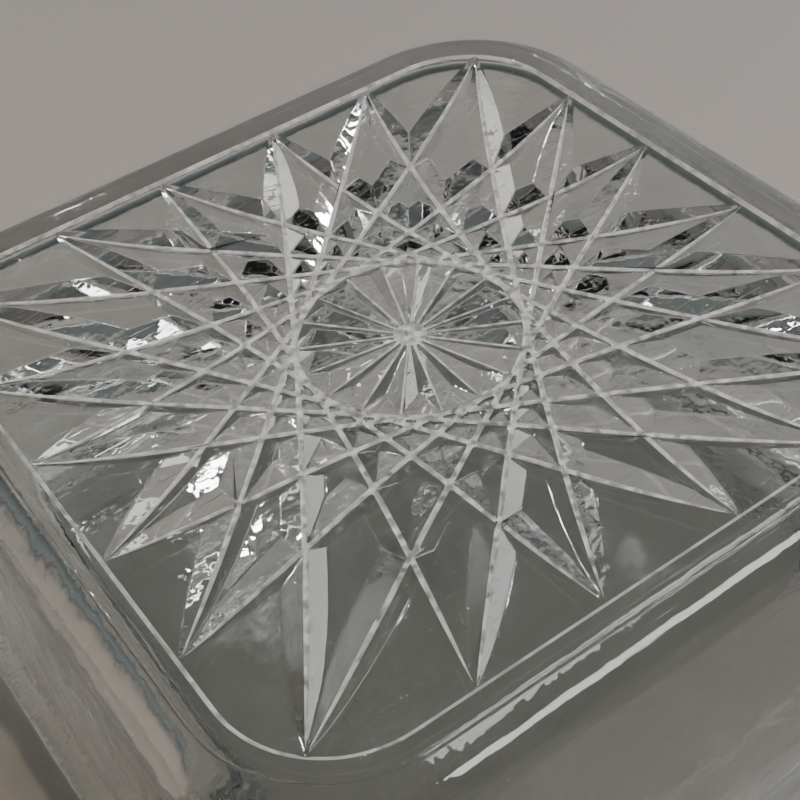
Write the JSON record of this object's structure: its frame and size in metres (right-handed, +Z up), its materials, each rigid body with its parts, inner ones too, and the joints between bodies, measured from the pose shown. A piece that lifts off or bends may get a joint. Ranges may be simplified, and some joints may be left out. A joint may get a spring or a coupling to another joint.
{
  "type": "butter dish",
  "caption": "Square clear glass butter dish: a deep cover with a star cut into its flat top lifts off a shallow rimmed tray.",
  "frame": {"origin": "centre of the square foot, on the surface the dish stands on", "axes": "+Z up through the middle of the cover; X and Y parallel to the sides of the square"},
  "size_m": [0.1484, 0.1484, 0.064],
  "materials": {
    "cover_glass": "clear pressed glass with a faint grey-green cast, polished, arrises softly rounded",
    "tray_glass": "clear pressed glass with a faint grey-green cast, polished, plain"
  },
  "bodies": {
    "tray": {"tray": "tray_glass"},
    "cover": {"cover": "cover_glass"}
  },
  "joints": [
    {"name": "cover_lift", "type": "slide", "parent": "tray", "child": "cover", "axis": [0, 0, 1], "range_m": [0, 0.12]}
  ]
}
